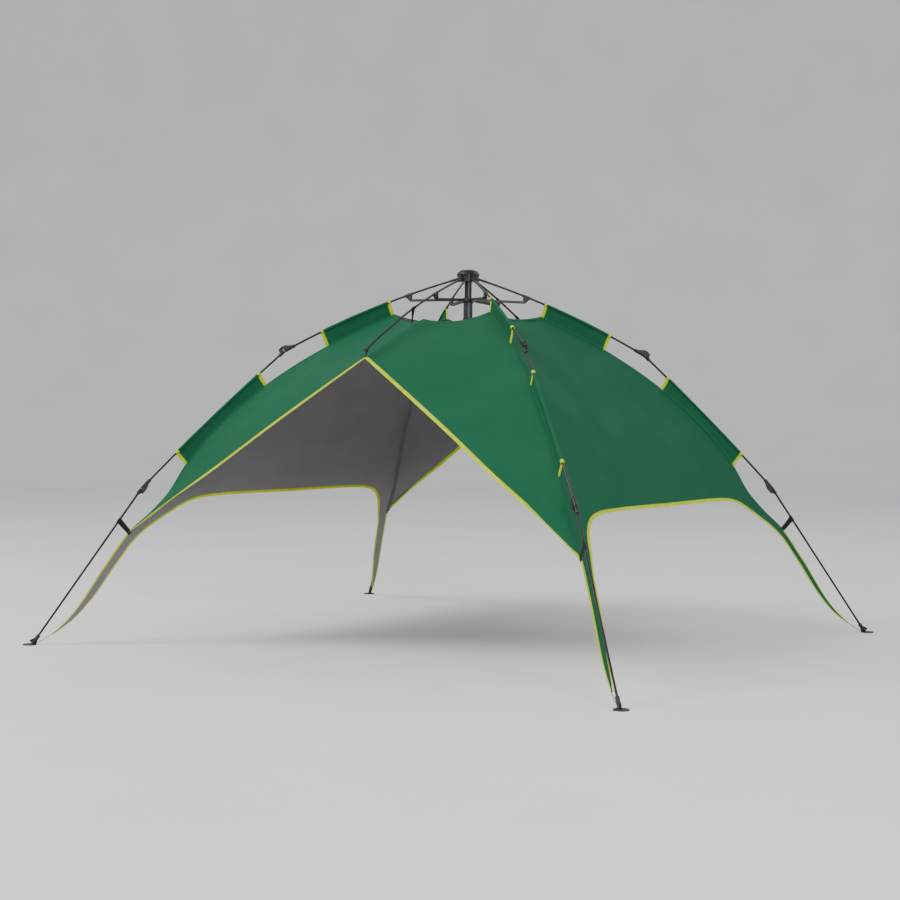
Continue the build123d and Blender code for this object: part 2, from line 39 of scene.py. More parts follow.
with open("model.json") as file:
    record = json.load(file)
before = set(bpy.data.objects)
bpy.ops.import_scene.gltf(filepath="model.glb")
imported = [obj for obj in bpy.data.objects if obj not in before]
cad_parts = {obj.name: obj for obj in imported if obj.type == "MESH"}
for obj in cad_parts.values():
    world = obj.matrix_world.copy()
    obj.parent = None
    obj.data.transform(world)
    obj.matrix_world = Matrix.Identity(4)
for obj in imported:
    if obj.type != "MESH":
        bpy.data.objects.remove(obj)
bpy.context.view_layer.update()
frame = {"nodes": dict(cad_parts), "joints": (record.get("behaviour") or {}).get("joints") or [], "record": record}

# ---------------------------------------------------------------- dimensions
STEP = 0.016                  # length of a cloth mesh cell along a wall's edge
LOW_COLUMNS, TALL_COLUMNS = 52, 44    # mesh cells across half a wall
CLOTH = 0.0009                # cloth thickness
ROD_R = 0.0045                # outer radius of a pole rod

# the seam under a leg, as (radius, height) in the leg's plane
SEAM = [
    (0.318, 1.383), (0.605, 1.241), (0.853, 1.080), (1.189, 0.741), (1.262, 0.622),
    (1.327, 0.550), (1.420, 0.462), (1.510, 0.335), (1.680, 0.090), (1.730, 0.044),
]
STRAP_Z = 0.462               # height of the seam where the leg strap is sewn on
RIDGE = [(0.345, 1.352), (0.431, 1.322), (0.756, 1.181)]     # (distance out, height)
# a tall opening's edge from its peak down to the strap, as (x, y, z) of the back right quarter
OPENING = [(0.0, 0.756, 1.181), (0.422, 0.829, 0.900), (0.683, 0.877, 0.719), (0.915, 0.916, 0.570)]
# a low wall's edge from its middle to the leg, as (distance from the middle, height)
LOW_EDGE = [
    (0.0, 0.604), (0.25, 0.605), (0.48, 0.604), (0.60, 0.598), (0.675, 0.584),
    (0.735, 0.557), (0.785, 0.522), (0.842, 0.476), (0.893, 0.420), (0.930, 0.350),
]
STRIP_WIDTHS = [(0.350, 0.072), (0.184, 0.053), (0.090, 0.032), (0.044, 0.010)]  # (height, width)
# rows of a low wall's mesh, as (height at the seam, distance from the middle at the edge)
LOW_ROWS = [(0.80, 0.0), (0.69, 0.30), (0.62, 0.55), (0.57, 0.69), (0.50, 0.79), (0.43, 0.885), (0.35, 0.93)]
HOLE_DIP = 0.023              # the top hole's edges hang between the legs
DIP_FADE = 0.26               # the dip fades over this distance down a low wall
TALL_DIP_FADE = 0.1
WALL_SAG = 0.018              # the low walls are drawn in between the legs
SAG_IN, SAG_DOWN = 0.5, 0.87  # the share of a wall's sag that goes inwards and down
RELAX_ROUNDS = 250            # a tall wall's mesh is evened out this many times
RIDGE_SPLIT = math.radians(76)   # a tall wall's middle goes with the short arm from here
SEAM_GAP = 0.0008             # each wall stops this far from the leg's plane

BINDING_IN = 0.013            # the lime tape's width on the cloth
BINDING_OUT = 0.0016          # and past the cloth's edge
BINDING_HALF = 0.0015
STITCH_IN = 0.003             # the row of stitches, from the tape's inner edge
FIN_UPPER = (0.334, 0.628)    # sleeves on the upper and middle rods, by radius
FIN_LOWER = (0.881, 1.227)
FIN_HALF = 0.0009             # half the thickness of a fin's doubled cloth
SLEEVE_WALL = 0.0020          # a sleeve's outside above the rod
CUFF_WALL = 0.0030
CUFF_LENGTH = 0.010
LOOP_WALL = 0.0019            # the same for a strap's loop round a rod
STRAP_R = 1.460               # where the leg strap is on the lower rod, by radius
STRAP_WIDTH = 0.024
WEBBING_R = 0.418             # webbing on a short arm
WEBBING_WIDTH = 0.026
WEBBING_FOOT = (0.431, 1.324)
BAND_START = 0.0055           # straps start this far from the rod's centre line
ROD_END_GAP = 0.008           # an arm's hook reaches this far past its rod
HOOK_EYE = (-0.006, -0.0095)  # the eye, from the hook's end, along and above the rod

LIME = (0.50, 0.60, 0.0)
GREEN = (0.0075, 0.092, 0.042)
GREY = (0.122, 0.122, 0.125)


# ------------------------------------------------------------ frame geometry
joints = {joint["name"]: joint for joint in frame["joints"]}


def flat_point(name):
    x, y, z = joints[name]["pos_m"]
    return math.hypot(x, y), z


def azimuth_of(name):
    x, y, _ = joints[name]["pos_m"]
    return math.atan2(y, x)


LEGS = ("front_right", "back_right", "back_left", "front_left")
ARMS = ("front", "back")
AZIMUTH = {leg: azimuth_of(f"upper_knee_{leg}") for leg in LEGS}
AZIMUTH.update({arm: azimuth_of(f"arm_fold_{arm}") for arm in ARMS})
HUB_PIVOT = flat_point("arm_fold_front")
KNEE_1 = flat_point("upper_knee_front_right")
KNEE_2 = flat_point("lower_knee_front_right")
LEG_TURN = AZIMUTH["back_right"]
COS, SIN = math.cos(LEG_TURN), math.sin(LEG_TURN)


def unit(v):
    return v / np.linalg.norm(v)


def in_plane(part, r, z, side=0.0):
    """A point of a leg's or arm's own plane, `side` to its left, in the frame."""
    a = AZIMUTH[part]
    return Vector((r * math.cos(a) - side * math.sin(a), r * math.sin(a) + side * math.cos(a), z))


def rod_line(node, part, count=60):
    """Centre line of a CAD rod in its own plane, from its mesh: (radius, height) points."""
    a = AZIMUTH[part]
    co = np.array([v.co for v in frame["nodes"][node].data.vertices])
    flat = np.stack([co[:, 0] * math.cos(a) + co[:, 1] * math.sin(a), co[:, 2]], axis=1)
    rough = flat[flat[:, 0].argmax()] - flat[flat[:, 0].argmin()]
    along = flat @ unit(rough)
    start = flat[along < along.min() + 0.0015].mean(0)
    end = flat[along > along.max() - 0.0015].mean(0)
    chord = end - start
    out = unit(np.array([-chord[1], chord[0]]))
    rise = ((flat - start) @ out).max() - ROD_R
    share = np.linspace(0, 1, count)[:, None]
    return start + chord * share + out * (4 * rise * share * (1 - share))


def at_radius(line, r):
    return float(np.interp(r, line[:, 0], line[:, 1]))


def on_rod(line, part, r, drop=0.0):
    return in_plane(part, r, at_radius(line, r) - drop)


upper_line = rod_line("upper_rod_front_right", "front_right")
middle_line = rod_line("middle_rod_front_right", "front_right")
lower_line = rod_line("lower_rod_front_right", "front_right")
arm_line = rod_line("arm_rod_front", "front")


# ----------------------------------------------------------------- curves
def lengths(points):
    steps = np.linalg.norm(np.diff(points, axis=0), axis=1)
    return np.concatenate([[0], np.cumsum(steps)])


def resample(points, places):
    """Points of a polyline at the given distances along it."""
    at = lengths(points)
    return np.stack([np.interp(places, at, points[:, k]) for k in range(points.shape[1])], axis=1)


def smooth(points, dense=24):
    """A smooth curve through a few points, as a fine polyline."""
    p = np.array(points, float)
    h = np.linalg.norm(np.diff(p, axis=0), axis=1)
    slope = np.diff(p, axis=0) / h[:, None]
    tangent = np.empty_like(p)
    tangent[0], tangent[-1] = slope[0], slope[-1]
    weight = (h[:-1] / (h[:-1] + h[1:]))[:, None]
    tangent[1:-1] = slope[:-1] * (1 - weight) + slope[1:] * weight
    made = [p[0]]
    for k in range(len(h)):
        for t in np.linspace(0, 1, dense + 1)[1:]:
            a, b = 2 * t**3 - 3 * t**2 + 1, t**3 - 2 * t**2 + t
            c, d = 3 * t**2 - 2 * t**3, t**3 - t**2
            made.append(a * p[k] + b * h[k] * tangent[k] + c * p[k + 1] + d * h[k] * tangent[k + 1])
    return np.array(made)


def direction(path, k):
    return (path[min(k + 1, len(path) - 1)] - path[max(k - 1, 0)]).normalized()


seam = smooth(SEAM)
seam_at = lengths(seam)


def seam_place(z):
    """Distance along the seam at a height."""
    return float(np.interp(-z, -seam[:, 1], seam_at))


def seam_radius(z):
    return np.interp(-np.asarray(z), -seam[:, 1], seam[:, 0])


STRAP_PLACE = seam_place(STRAP_Z)
LOW_Z = LOW_EDGE[0][1]


# -------------------------------------------------------------- canopy walls
def join_rows(starts, ends, columns):
    """A grid of points: straight rows from each start to its end."""
    share = np.linspace(0, 1, columns + 1)[None, :, None]
    return starts[:, None, :] * (1 - share) + ends[:, None, :] * share


def low_half():
    """Half a low wall in the back right quarter, and the distance to its free edge and seam."""
    strip = [(seam_radius(z) * SIN - width, z) for z, width in STRIP_WIDTHS[1:]]
    edge = smooth(LOW_EDGE + strip, dense=12)
    edge_at = lengths(edge)

    def edge_place(y):
        return float(np.interp(y, edge[:, 0], edge_at))

    fan_seam = [seam_place(height) for height, _ in LOW_ROWS] + [seam_at[-1]]
    fan_edge = [edge_place(middle) for _, middle in LOW_ROWS] + [edge_at[-1]]
    top_count = int(fan_seam[0] / STEP)
    fan_count = int(edge_at[-1] / STEP)
    top_places = np.linspace(0, fan_seam[0], top_count, endpoint=False)
    edge_places = np.linspace(0, edge_at[-1], fan_count + 1)
    fan_places = np.interp(edge_places, fan_edge, fan_seam)
    seam_points = resample(seam, np.concatenate([top_places, fan_places]))
    starts = np.stack([seam_points[:, 0] * SIN - SEAM_GAP * COS, seam_points[:, 1]], axis=1)
    top_z = seam[0, 1] + (LOW_Z - seam[0, 1]) * np.linspace(0, 1, top_count, endpoint=False)
    ends = np.stack([np.zeros(top_count), top_z], axis=1)
    ends = np.concatenate([ends, resample(edge, edge_places)])
    rows = join_rows(starts, ends, LOW_COLUMNS)
    y, z = rows[..., 0], rows[..., 1]
    radius = seam_radius(z)
    across = 1 - (y / (radius * SIN)) ** 2
    place = np.interp(-z, -seam[:, 1], seam_at)
    share = np.clip(place / seam_place(LOW_Z), 0, 1)
    depth = HOLE_DIP * np.exp(-place / DIP_FADE) + WALL_SAG * np.sin(np.pi * share) ** 1.5
    sag = depth * np.clip(across, 0, 1)
    grid = np.stack([radius * COS + SEAM_GAP * SIN - SAG_IN * sag, y, z - SAG_DOWN * sag], axis=-1)
    free = np.linalg.norm(grid - grid[:, -1:, :], axis=-1)
    free[:top_count] = 1.0
    return grid, np.minimum(free, np.linalg.norm(grid - grid[:, :1, :], axis=-1))


def tall_half():
    """Half a tall wall in the back right quarter, and the distance to its edges."""
    ridge = smooth([(0, y, z) for y, z in RIDGE])
    strap_r = seam_radius(STRAP_Z)
    strap = (strap_r * COS - SEAM_GAP * SIN, strap_r * SIN + SEAM_GAP * COS, STRAP_Z)
    opening = smooth(OPENING + [strap])
    edge = np.concatenate([ridge, opening[1:]])
    edge_at = lengths(edge)
    peak_at = lengths(ridge)[-1]
    span = edge_at[-1] - peak_at
    seam_places = [0.0] + [seam_place(z) for z in (SEAM[1][1], SEAM[2][1], SEAM[3][1], LOW_Z)] + [STRAP_PLACE]
    edge_places = [0.0, 0.5 * peak_at, peak_at, peak_at + 0.46 * span, peak_at + 0.76 * span, edge_at[-1]]
    count = int(edge_at[-1] / STEP)
    before = int(count * peak_at / edge_at[-1])
    places = np.concatenate([
        np.linspace(0, peak_at, before, endpoint=False),
        np.linspace(peak_at, edge_at[-1], count - before + 1),
    ])
    seam_points = resample(seam, np.interp(places, edge_places, seam_places))
    radius, z = seam_points[:, 0], seam_points[:, 1]
    starts = np.stack([radius * COS - SEAM_GAP * SIN, radius * SIN + SEAM_GAP * COS, z], axis=1)
    grid = join_rows(starts, resample(edge, places), TALL_COLUMNS)
    share = np.linspace(0, 1, grid.shape[1])
    hang = 4 * share * (1 - share)
    grid[..., 2] -= HOLE_DIP * np.exp(-places / TALL_DIP_FADE)[:, None] * hang
    for _ in range(RELAX_ROUNDS):
        grid[1:-1, 1:-1] = 0.25 * (grid[:-2, 1:-1] + grid[2:, 1:-1] + grid[1:-1, :-2] + grid[1:-1, 2:])
    free = np.linalg.norm(grid - grid[:, -1:, :], axis=-1)
    return grid, np.minimum(free, np.linalg.norm(grid - grid[:, :1, :], axis=-1))


# where the cloth is pulled into folds: (radius, height, reach, waves, height of the folds)
PULLS = [
    (1.420, 0.462, 0.20, 13, 0.0030), (0.605, 1.241, 0.12, 11, 0.0022), (0.853, 1.080, 0.12, 11, 0.0022),
    (1.189, 0.741, 0.12, 11, 0.0024), (0.318, 1.383, 0.09, 9, 0.0018),
]


def ripple(p):
    """Height of the folds in the taut cloth at a point of the frame."""
    soft = noise.noise(Vector((p.x * 2.6, p.y * 2.6, p.z * 2.6 + 3.1))) * 0.0035
    small = noise.noise(Vector((p.x * 9.0 + 7.7, p.y * 9.0, p.z * 9.0))) * 0.0010
    folds = 0.0
    turn = LEG_TURN if p.x * p.y > 0 else -LEG_TURN
    sign = 1 if p.x > 0 else -1
    for r, z, reach, waves, height in PULLS:
        pull = Vector((sign * r * math.cos(turn), sign * r * math.sin(turn), z))
        away = p - pull
        distance = away.length
        if distance > 4 * reach:
            continue
        spread = math.atan2(away.z, math.hypot(away.x, away.y) * math.copysign(1, away.y * pull.y))
        folds += height * math.exp(-distance / reach) * math.sin(waves * spread) * min(1, distance / 0.04)
    return soft + small + folds


def wall_mesh(half, flips):
    """A whole wall as one joined sheet: the quarter's half, mirrored as each of flips says."""
    grid, margin = half
    bm = bmesh.new()
    window = bm.verts.layers.float.new("window")
    for sx, sy in flips:
        made = []
        for row, edge in zip(grid, margin):
            line = []
            for p, d in zip(row, edge):
                v = bm.verts.new((p[0] * sx, p[1] * sy, p[2]))
                v[window] = min(1.0, d / 0.09) ** 1.5
                line.append(v)
            made.append(line)
        for a, b in zip(made, made[1:]):
            for k in range(len(a) - 1):
                bm.faces.new((a[k], a[k + 1], b[k + 1], b[k]))
    bmesh.ops.remove_doubles(bm, verts=bm.verts, dist=2e-5)
    bmesh.ops.recalc_face_normals(bm, faces=bm.faces)
    if sum(f.normal.z * f.calc_area() for f in bm.faces) < 0:
        bmesh.ops.reverse_faces(bm, faces=bm.faces)
    bm.normal_update()
    moves = [(v, v.normal * (ripple(v.co) * v[window])) for v in bm.verts]
    for v, move in moves:
        v.co += move
    bm.normal_update()
    return bm


def cut(bm, keep, point, normal):
    """Splits the faces that `keep` picks along a plane."""
    faces = [f for f in bm.faces if keep(f.calc_center_median())]
    parts = set(faces)
    for f in faces:
        parts.update(f.edges)
        parts.update(f.verts)
    bmesh.ops.bisect_plane(bm, geom=list(parts), plane_co=point, plane_no=normal, dist=1e-5)


# ------------------------------------------------------- which body a bit rides
def leg_of(p):
    return ("front" if p.y < 0 else "back") + ("_left" if p.x < 0 else "_right")


def arm_of(p):
    return "front" if p.y < 0 else "back"


def knee_plane(knee, before, after):
    """The plane that halves a knee, in the leg's plane: its point and normal."""
    a, b = np.array(knee) - np.array(before), np.array(after) - np.array(knee)
    return np.array(knee), unit(unit(a) + unit(b))


FOOT = (float(lower_line[-1, 0]), float(lower_line[-1, 1]))
CHORDS = {"upper": (HUB_PIVOT, KNEE_1), "middle": (KNEE_1, KNEE_2), "lower": (KNEE_2, FOOT)}
PLANE_1 = knee_plane(KNEE_1, HUB_PIVOT, KNEE_2)
PLANE_2 = knee_plane(KNEE_2, KNEE_1, FOOT)


def plane_3d(leg, plane):
    point, normal = plane
    a = AZIMUTH[leg]
    return in_plane(leg, *point), Vector((normal[0] * math.cos(a), normal[0] * math.sin(a), normal[1]))


def part_of(p, wall):
    """The section of the frame that a point of a wall goes with: (kind, leg or arm)."""
    if wall == "tall" and abs(math.atan2(abs(p.y), abs(p.x))) > RIDGE_SPLIT:
        return "ridge", arm_of(p)
    leg = leg_of(p)
    for kind, plane in (("lower", PLANE_2), ("middle", PLANE_1)):
        point, normal = plane_3d(leg, plane)
        if (p - point).dot(normal) > 0:
            return kind, leg
    return "upper", leg


def body_of(kind, part):
    return f"arm_{part}" if kind == "ridge" else f"leg_{kind}_{part}"


def chord_of(kind, part):
    """Start and direction of the rod that a piece goes with, in the frame."""
    if kind == "ridge":
        start, end = HUB_PIVOT, tuple(arm_line[-1])
    else:
        start, end = CHORDS[kind]
    a = in_plane(part, *start)
    return a, (in_plane(part, *end) - a).normalized()


def side_of(part):
    """Square to the leg's or arm's own plane."""
    return in_plane(part, 0, 0, 1)


def rod_normal(kind, part):
    """In the rod's own plane, square to the rod."""
    return chord_of(kind, part)[1].cross(side_of(part)).normalized()


# ------------------------------------------------------------------ materials
class Shader:
    """Short calls for adding and joining the nodes of one material."""

    def __init__(self, name, **surface):
        self.material = bpy.data.materials.new(name)
        self.material.use_nodes = True
        self.tree = self.material.node_tree
        self.surface = self.tree.nodes["Principled BSDF"]
        for key, value in surface.items():
            self.set(key.replace("_", " "), value)

    def set(self, socket, value):
        self.feed(self.surface.inputs[socket], value)

    def feed(self, socket, value):
        if isinstance(value, bpy.types.NodeSocket):
            self.tree.links.new(value, socket)
        elif isinstance(value, tuple) and len(value) == 3 and len(socket.default_value) == 4:
            socket.default_value = (*value, 1.0)
        else:
            socket.default_value = value

    def node(self, kind, values=(), **settings):
        made = self.tree.nodes.new("ShaderNode" + kind)
        for key, value in settings.items():
            setattr(made, key, value)
        for place, value in dict(values).items():
            self.feed(made.inputs[place], value)
        return made

    def place(self, output="Object"):
        return self.node("TexCoord").outputs[output]

    def noise(self, scale, detail=3.0, rough=0.5, where=None):
        where = where or self.place()
        made = self.node("TexNoise", {"Vector": where, "Scale": scale, "Detail": detail, "Roughness": rough})
        return made.outputs["Fac"]

    def math(self, operation, a, b=0.0):
        return self.node("Math", {0: a, 1: b}, operation=operation).outputs[0]

    def span(self, value, low, high, to_low, to_high):
        made = self.node("MapRange", {0: value, 1: low, 2: high, 3: to_low, 4: to_high})
        return made.outputs[0]

    def uneven(self, scale, low, high):
        """Cloudy roughness."""
        self.set("Roughness", self.span(self.noise(scale), 0.3, 0.7, low, high))

    def mix(self, share, a, b):
        made = self.node("Mix", {0: share, 6: a, 7: b}, data_type="RGBA")
        return made.outputs[2]

    def bump(self, height, distance, strength=1.0, below=None):
        values = {"Height": height, "Distance": distance, "Strength": strength}
        if below is not None:
            values["Normal"] = below
        return self.node("Bump", values).outputs["Normal"]

    def axis(self, vector, name):
        return self.node("SeparateXYZ", {0: vector}).outputs[name]


def shade(colour, factor):
    return tuple(c * factor for c in colour)


def weave(shader, pitch, where):
    """A plain weave: crossed threads, over and under."""
    u = shader.math("MULTIPLY", shader.axis(where, "X"), 2 * math.pi / pitch)
    v = shader.math("MULTIPLY", shader.axis(where, "Y"), 2 * math.pi / pitch)
    return shader.math("MULTIPLY", shader.math("SINE", u), shader.math("SINE", v))


def cloth(name, colour, roughness, cloudy, painted_bounce_light=1.0):
    """Coated polyester: fine weave, faint creases, uneven colour; painted bounce light makes it brighter low down,
    by the factor the last argument gives.
    """
    made = Shader(name, Roughness=roughness, Specular_IOR_Level=0.12)
    patches = made.noise(3.0, 4.0)
    threads = weave(made, 0.0011, made.place("UV"))
    patches = made.span(patches, 0.35, 0.65, 0, 1)
    tone = made.mix(patches, shade(colour, 1 - cloudy), shade(colour, 1 + cloudy))
    tone = made.mix(made.span(threads, -1, 1, 0, 0.16), tone, shade(colour, 0.6))
    # painted bounce light: the colour is lit up towards the bottom, as light from the ground would light it
    if painted_bounce_light != 1.0:
        painted_bounce_mask = made.span(made.axis(made.place(), "Z"), 0.35, 0.85, 1.0, 0.0)
        tone = made.mix(painted_bounce_mask, tone, shade(colour, painted_bounce_light))
    made.set("Base Color", tone)
    made.uneven(7.0, roughness - 0.06, roughness + 0.08)
    creases = made.bump(made.noise(16.0, 4.0, 0.55), 0.0020, 0.35)
    made.set("Normal", made.bump(threads, 0.00012, 0.5, creases))
    return made.material


def tape(name, colour):
    """Woven binding tape: ribs across, a row of stitches near its inner edge."""
    made = Shader(name, Roughness=0.7, Specular_IOR_Level=0.15)
    where = made.place("UV")
    along, side = made.axis(where, "X"), made.axis(where, "Y")
    ribs = made.math("SINE", made.math("MULTIPLY", along, 2 * math.pi / 0.0012))
    dash = made.math("GREATER_THAN", made.math("FRACT", made.math("MULTIPLY", along, 1 / 0.0042)), 0.3)
    from_row = made.math("ABSOLUTE", made.math("SUBTRACT", side, BINDING_IN - STITCH_IN))
    row = made.math("LESS_THAN", from_row, 0.0005)
    stitch = made.math("MULTIPLY", dash, row)
    tone = made.mix(made.span(made.noise(25.0), 0.3, 0.7, 0, 1), shade(colour, 0.88), shade(colour, 1.08))
    tone = made.mix(made.span(ribs, -1, 1, 0, 0.2), tone, shade(colour, 0.7))
    tone = made.mix(stitch, tone, shade(colour, 0.55))
    made.set("Base Color", tone)
    made.set("Normal", made.bump(stitch, 0.0004, 0.8, made.bump(ribs, 0.00015, 0.6)))
    return made.material


def webbing(name, colour):
    """Flat webbing: a herringbone of slanted ribs."""
    made = Shader(name, Roughness=0.75, Specular_IOR_Level=0.2)
    where = made.place("UV")
    along, side = made.axis(where, "X"), made.axis(where, "Y")
    slant = made.math("ADD", along, made.math("ABSOLUTE", made.math("PINGPONG", side, 0.004)))
    ribs = made.math("SINE", made.math("MULTIPLY", slant, 2 * math.pi / 0.0018))
    made.set("Base Color", made.mix(made.span(ribs, -1, 1, 0, 1), shade(colour, 0.7), shade(colour, 1.3)))
    made.set("Normal", made.bump(ribs, 0.0004, 0.8))
    return made.material


def plastic(name, colour, roughness):
    """Moulded nylon: fine grain, edges rubbed lighter, a little dust."""
    made = Shader(name, Roughness=roughness, Specular_IOR_Level=0.35)
    edge = made.node("NewGeometry").outputs["Pointiness"]
    worn = made.span(edge, 0.52, 0.60, 0, 0.5)
    dust = made.span(made.noise(60.0, 5.0, 0.6), 0.5, 0.75, 0, 0.25)
    tone = made.mix(worn, colour, tuple(c + 0.03 for c in colour))
    made.set("Base Color", made.mix(dust, tone, tuple(c * 1.3 + 0.008 for c in colour)))
    made.uneven(90.0, roughness - 0.05, roughness + 0.1)
    round_edge = made.node("Bevel", {"Radius": 0.0009}, samples=4).outputs["Normal"]
    made.set("Normal", made.bump(made.noise(2200.0, 2.0), 0.00012, 0.5, round_edge))
    return made.material


def rod_finish(name, colour):
    """Pultruded fibreglass: semi-gloss, with fine lengthwise streaks."""
    made = Shader(name, Roughness=0.34, Specular_IOR_Level=0.3, Coat_Weight=0.1, Coat_Roughness=0.25)
    streaks = made.noise(140.0, 4.0, 0.7)
    scuffs = made.span(made.noise(34.0, 5.0, 0.65), 0.56, 0.7, 0, 1)
    tone = made.mix(streaks, shade(colour, 0.7), shade(colour, 1.5))
    rubbed = tuple(c + 0.05 for c in colour)
    made.set("Base Color", made.mix(made.math("MULTIPLY", scuffs, 0.35), tone, rubbed))
    made.set("Roughness", made.span(streaks, 0.3, 0.7, 0.24, 0.42))
    made.set("Normal", made.bump(streaks, 0.00015, 0.35))
    return made.material


def metal(name, colour, metallic, roughness, grain_scale):
    """Coated or plated metal: an even finish with faint scuffs."""
    made = Shader(name, Metallic=metallic, Roughness=roughness)
    scuffs = made.span(made.noise(45.0, 6.0, 0.7), 0.55, 0.72, 0, 1)
    rubbed = tuple(c * 1.5 + 0.03 for c in colour)
    made.set("Base Color", made.mix(made.math("MULTIPLY", scuffs, 0.3), colour, rubbed))
    made.uneven(grain_scale, roughness - 0.06, roughness + 0.1)
    made.set("Normal", made.bump(made.noise(grain_scale, 2.0), 0.00006, 0.5))
    return made.material


green = cloth("canopy_green", GREEN, 0.78, 0.03)
# the inside gets painted bounce light, 1.45 times as bright low down
grey = cloth("canopy_grey", GREY, 0.60, 0.04, painted_bounce_light=1.45)
lime = tape("binding_lime", LIME)
black_webbing = webbing("webbing_black", (0.016, 0.018, 0.020))
seam_grey = cloth("seam_grey", shade(GREY, 0.8), 0.6, 0.04)
fin_green = cloth("fin_green", GREEN, 0.78, 0.03)
hem_green = tape("hem_green", GREEN)
pale_green = cloth("stitched_green", shade(GREEN, 1.9), 0.7, 0.05)
cord_black = webbing("cord_black", (0.014, 0.014, 0.014))

FINISHES = {
    "hub_plastic": plastic("hub_plastic", (0.006, 0.006, 0.007), 0.34),
    "joint_plastic": plastic("joint_plastic", (0.007, 0.007, 0.008), 0.40),
    "foot_plastic": plastic("foot_plastic", (0.009, 0.009, 0.009), 0.5),
    "grip_plastic": plastic("grip_plastic", (0.006, 0.006, 0.007), 0.5),
    "button_plastic": plastic("button_plastic", (0.30, 0.31, 0.32), 0.32),
    "fibreglass": rod_finish("fibreglass", (0.006, 0.006, 0.007)),
    "strut_steel": metal("strut_steel", (0.007, 0.007, 0.008), 0.1, 0.40, 900.0),
    "centre_tube": metal("centre_tube", (0.045, 0.045, 0.05), 0.85, 0.24, 500.0),
    "sleeve_tube": metal("sleeve_tube", (0.07, 0.07, 0.075), 0.85, 0.30, 700.0),
    "pin_steel": metal("pin_steel", (0.66, 0.66, 0.67), 1.0, 0.28, 1200.0),
    "spring_steel": metal("spring_steel", (0.42, 0.42, 0.43), 1.0, 0.3, 1500.0),
}


# --------------------------------------------------------------- mesh pieces
def new_piece(name, points, faces, materials, picks=None, smooth_faces=None, uv=None, normals=None):
    """A mesh object from plain lists; picks gives each face's material, uv goes by vertex."""
    mesh = bpy.data.meshes.new(name)
    mesh.from_pydata([tuple(p) for p in points], [], faces)
    for made in materials:
        mesh.materials.append(made)
    if picks is not None:
        mesh.polygons.foreach_set("material_index", picks)
    mesh.polygons.foreach_set("use_smooth", [True] * len(faces) if smooth_faces is None else smooth_faces)
    if uv is not None:
        layer = mesh.uv_layers.new(name="UVMap")
        flat = []
        for face in mesh.polygons:
            for v in face.vertices:
                flat.extend(uv[v])
        layer.data.foreach_set("uv", flat)
    mesh.validate()
    if normals is not None:
        mesh.normals_split_custom_set([tuple(n) for n in normals])
    obj = bpy.data.objects.new(name, mesh)
    bpy.context.scene.collection.objects.link(obj)
    return obj


def face_outwards(obj):
    bm = bmesh.new()
    bm.from_mesh(obj.data)
    bmesh.ops.recalc_face_normals(bm, faces=bm.faces)
    bm.to_mesh(obj.data)
    bm.free()


def cloth_piece(name, faces, uv_of):
    """A closed two-sided piece of cloth from some faces of a wall: green outside, grey inside."""
    verts = {}
    for f in faces:
        for v in f.verts:
            verts.setdefault(v, len(verts))
    count = len(verts)
    outer = [v.co + v.normal * (CLOTH / 2) for v in verts]
    inner = [v.co - v.normal * (CLOTH / 2) for v in verts]
    picked = set(faces)
    made, picks, loop_normals = [], [], []
    for f in faces:
        around = [verts[v] for v in f.verts]
        made += [around, [k + count for k in reversed(around)]]
        picks += [0, 1]
        loop_normals += [v.normal for v in f.verts]
        loop_normals += [-v.normal for v in reversed(f.verts)]
    for f in faces:
        for loop in f.loops:
            if sum(1 for g in loop.edge.link_faces if g in picked) == 1:
                a, b = loop.vert, loop.link_loop_next.vert
                out = (b.co - a.co).cross(f.normal).normalized()
                i, j = verts[a], verts[b]
                made.append([j, i, i + count, j + count])
                picks.append(0)
                loop_normals += [out] * 4
    uv = [uv_of(v.co) for v in verts] * 2
    obj = new_piece(name, outer + inner, made, [green, grey], picks, None, uv, loop_normals)
    return obj


def sweep(name, path, sides, ups, section, material, slot, uv_start=0.0, widths=None):
    """A closed section of (across, up) points carried along a path; widths scales it across."""
    n, m = len(path), len(section)
    at = lengths(np.array([tuple(p) for p in path])) + uv_start
    points, uv = [], []
    for p, side, up, along, width in zip(path, sides, ups, at, widths or [1.0] * n):
        for across, height in section:
            points.append(Vector(p) + Vector(side) * (across * width) + Vector(up) * height)
            uv.append((along, across))
    faces = []
    for i in range(n - 1):
        for k in range(m):
            a, b = i * m + k, i * m + (k + 1) % m
            faces.append([a, b, b + m, a + m])
    smooth_faces = [True] * len(faces) + [False, False]
    faces += [list(reversed(range(m))), [(n - 1) * m + k for k in range(m)]]
    obj = new_piece(name, points, faces, [material], None, smooth_faces, uv)
    face_outwards(obj)
    return obj


def tape_section():
    """The lime tape, folded over an edge: flat, with a pressed row where it is stitched."""
    w, h = BINDING_IN, BINDING_HALF
    top = [(-BINDING_OUT, h * 0.2), (-BINDING_OUT * 0.6, h * 0.8), (0.001, h), (w - 0.0045, h * 1.05),
           (w - 0.003, h * 0.72), (w - 0.0018, h * 0.95), (w - 0.0002, h * 0.75), (w, h * 0.4)]
    return top + [(x, -y) for x, y in reversed(top)]


def groups(keys):
    """Runs of equal keys: (key, first, last)."""
    first = 0
    for k in range(1, len(keys) + 1):
        if k == len(keys) or keys[k] != keys[first]:
            yield keys[first], first, k - 1
            first = k


def mirror(point, sx, sy):
    return Vector((point[0] * sx, point[1] * sy, point[2]))


